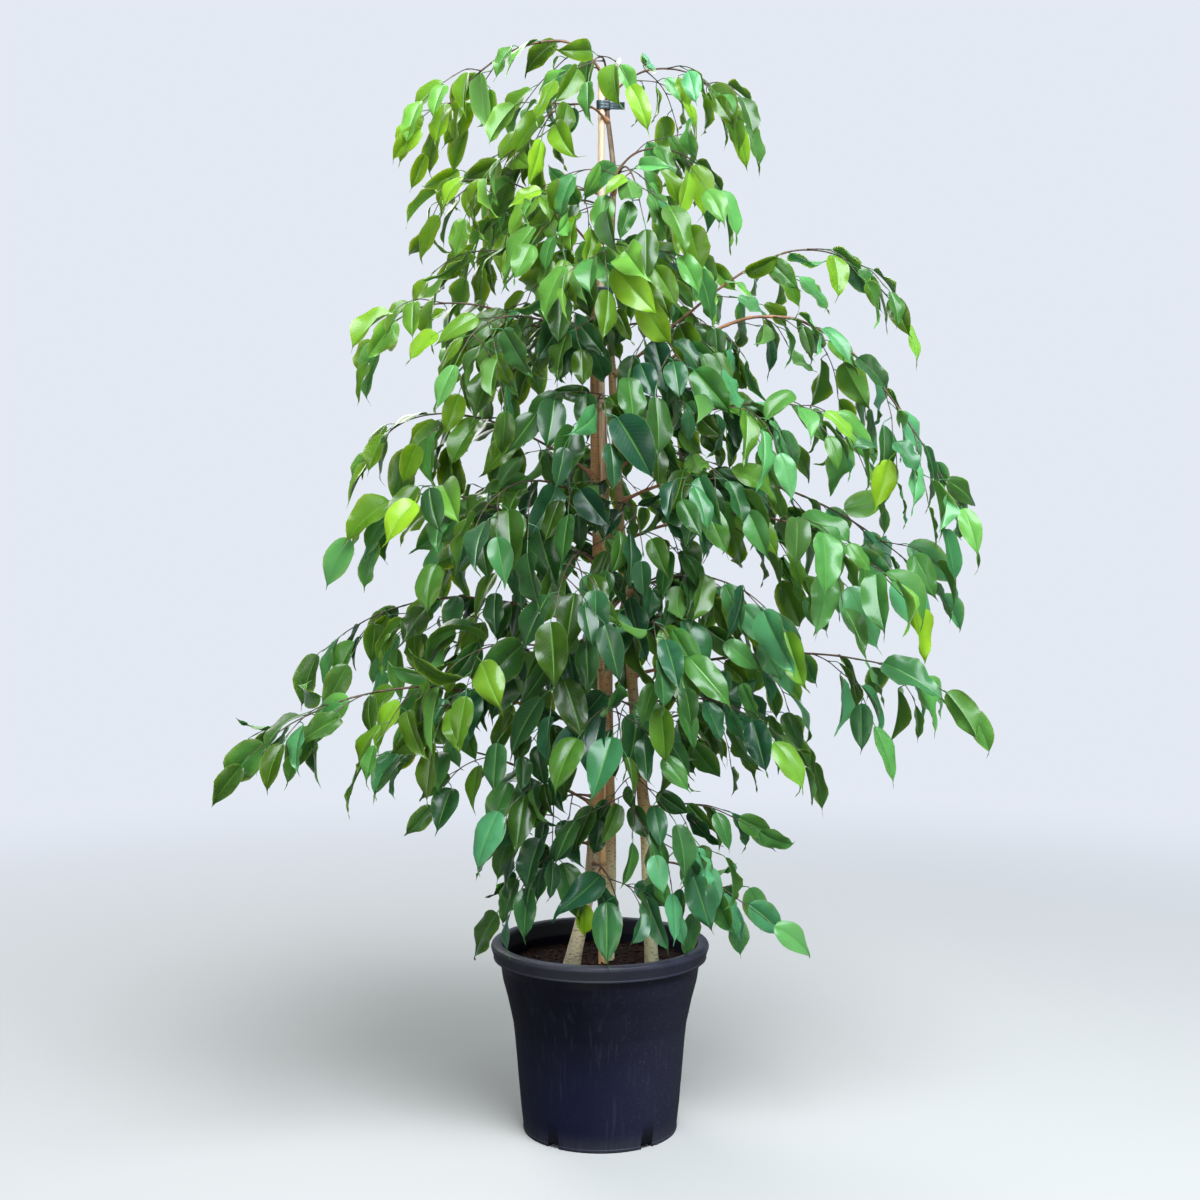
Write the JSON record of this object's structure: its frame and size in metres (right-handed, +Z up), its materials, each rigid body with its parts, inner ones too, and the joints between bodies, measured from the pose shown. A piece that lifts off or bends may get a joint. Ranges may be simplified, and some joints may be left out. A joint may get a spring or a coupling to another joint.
{
  "type": "potted weeping fig",
  "caption": "Leafy weeping fig with slim staked trunks and arching, drooping boughs, growing in a plain black nursery pot",
  "frame": {"origin": "centre of the pot's flat base, on the ground", "axes": "+Z up along the stake, +X to the right as seen from the front, +Y to the back"},
  "size_m": [1.101, 0.6941, 1.6124],
  "materials": {
    "pot": "black moulded polypropylene, satin, scuffed",
    "soil": "dark reddish-brown composted bark mix",
    "bamboo": "dry tan bamboo cane, faintly streaked",
    "strap": "dark soft plant tie, slightly glossy",
    "bark": "smooth tan bark with fine darker breathing pores",
    "leaf": "glossy green leaf with a pale midrib and margin, on brown twigs"
  },
  "bodies": {
    "root": {"bamboo_stake": "bamboo", "bough_back_01": "leaf", "bough_back_02": "leaf", "bough_back_03": "leaf", "bough_back_04": "leaf", "bough_back_05": "leaf", "bough_back_06": "leaf", "bough_back_07": "leaf", "bough_back_08": "leaf", "bough_back_09": "leaf", "bough_front_centre": "leaf", "bough_front_high": "leaf", "bough_front_low": "leaf", "bough_front_mid": "leaf", "bough_front_right": "leaf", "bough_front_right_low": "leaf", "bough_left_long": "leaf", "bough_left_low": "leaf", "bough_left_low_front": "leaf", "bough_left_mid": "leaf", "bough_left_mid_front": "leaf", "bough_left_mid_high": "leaf", "bough_left_mid_low": "leaf", "bough_pot_front": "leaf", "bough_pot_left": "leaf", "bough_pot_left_high": "leaf", "bough_pot_right": "leaf", "bough_pot_right_high": "leaf", "bough_pot_right_inner": "leaf", "bough_right_arch_high": "leaf", "bough_right_arch_low": "leaf", "bough_right_centre": "leaf", "bough_right_far": "leaf", "bough_right_high": "leaf", "bough_right_inner": "leaf", "bough_right_low": "leaf", "bough_right_low_short": "leaf", "bough_right_mid": "leaf", "bough_top_front": "leaf", "bough_top_front_left": "leaf", "bough_top_leader": "leaf", "bough_top_left": "leaf", "bough_top_left_inner": "leaf", "bough_top_left_low": "leaf", "bough_top_right": "leaf", "bough_top_right_low": "leaf", "bough_upper_front": "leaf", "bough_upper_left_arch": "leaf", "bough_upper_left_front": "leaf", "bough_upper_left_high": "leaf", "bough_upper_right": "leaf", "bough_upper_right_front": "leaf", "pot": "pot", "soil": "soil", "tie_lower": "strap", "tie_top": "strap", "tie_upper": "strap", "trunk_back": "bark", "trunk_left": "bark", "trunk_right": "bark"}
  },
  "joints": []
}
